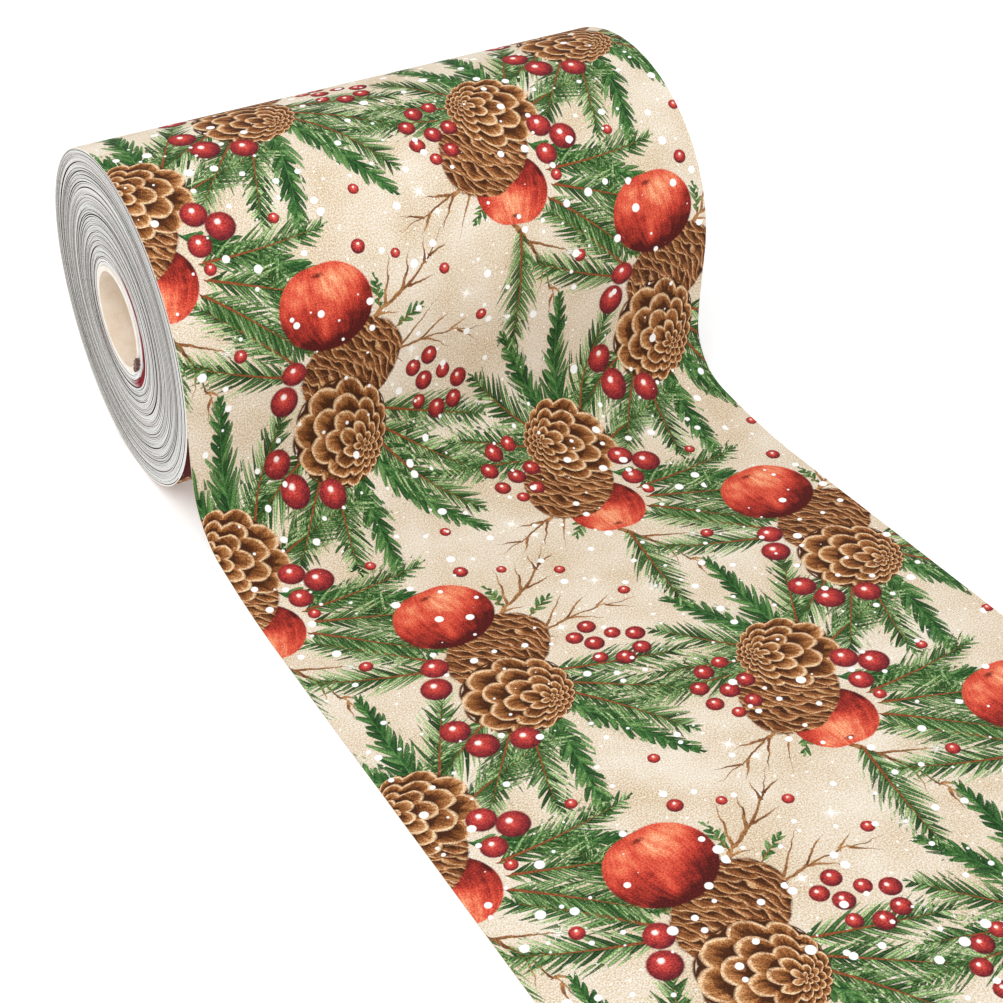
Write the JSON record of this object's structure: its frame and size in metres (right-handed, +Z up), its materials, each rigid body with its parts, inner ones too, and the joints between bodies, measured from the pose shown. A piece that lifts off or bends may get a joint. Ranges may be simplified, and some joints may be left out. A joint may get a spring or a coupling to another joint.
{
  "type": "wrapping paper roll",
  "caption": "Wide roll of printed wrapping paper on a board core, lying on its side with its free sheet pulled off the front and laid flat.",
  "frame": {"origin": "centre of the core's bore, midway across the width of the web", "axes": "+X along the core's bore, +Z up, the free sheet runs off to -Y"},
  "size_m": [0.3, 0.608, 0.176],
  "materials": {
    "printed_paper": "matte",
    "paper_edges": "matte",
    "bare_paper": "matte",
    "kraft_board": "matte",
    "folded_start": "matte"
  },
  "bodies": {
    "sheet": {"free_sheet": "printed_paper"},
    "roll": {"core_tube": "kraft_board", "start_fold": "folded_start", "leader_turns": "bare_paper", "wound_web": "paper_edges", "outer_turn": "printed_paper"}
  },
  "joints": [
    {"name": "roll_turn", "type": "hinge", "parent": "sheet", "child": "roll", "pos_m": [0, 0, 0], "axis": [1, 0, 0], "continuous": true}
  ]
}
